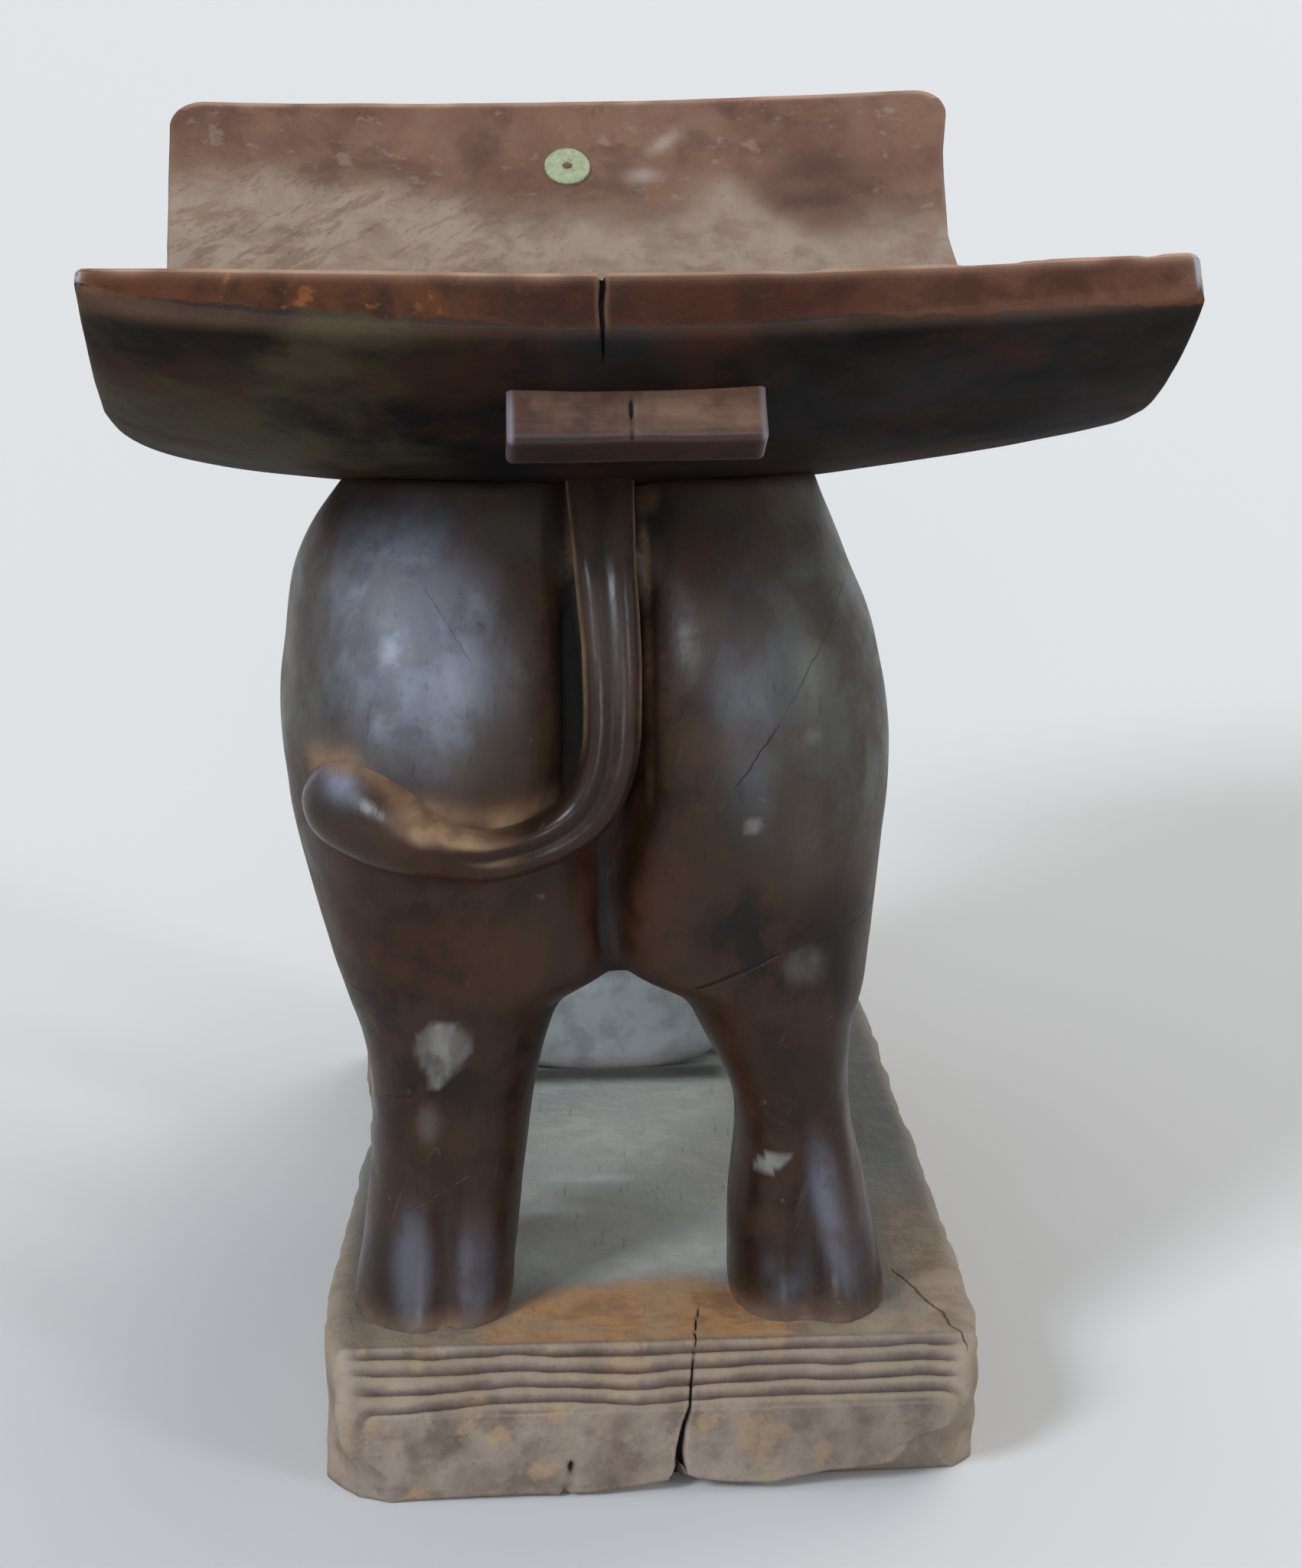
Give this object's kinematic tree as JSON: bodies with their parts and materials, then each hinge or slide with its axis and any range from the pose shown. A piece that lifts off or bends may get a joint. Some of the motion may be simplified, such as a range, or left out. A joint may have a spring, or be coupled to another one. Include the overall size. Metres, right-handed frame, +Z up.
{
  "type": "carved stool",
  "caption": "Carved wooden stool: a dished crescent seat with upturned ends, carried on the back of an elephant standing on a grooved slab base.",
  "frame": {"origin": "on the floor, under the middle of the stool's box", "axes": "+Z up, +Y from the elephant's tail to its head along the seat's length, +X across the seat, to the right when the elephant is seen from behind"},
  "size_m": [0.3, 0.5024, 0.3728],
  "materials": {
    "dark_wood": "hand-polished, worn",
    "dusty_wood": "dry, dusty, weathered",
    "old_brass": "verdigris"
  },
  "bodies": {
    "root": {"base": "dusty_wood", "body": "dark_wood", "left_hind_leg": "dark_wood", "right_hind_leg": "dark_wood", "left_foreleg": "dark_wood", "right_foreleg": "dark_wood", "tail": "dark_wood", "head": "dark_wood", "trunk": "dusty_wood", "left_ear": "dark_wood", "right_ear": "dark_wood", "left_tusk": "dark_wood", "right_tusk": "dark_wood", "seat": "dark_wood", "rear_lug": "dark_wood", "front_lug": "dark_wood", "marker_disc": "old_brass", "disc_nail": "old_brass"}
  },
  "joints": []
}
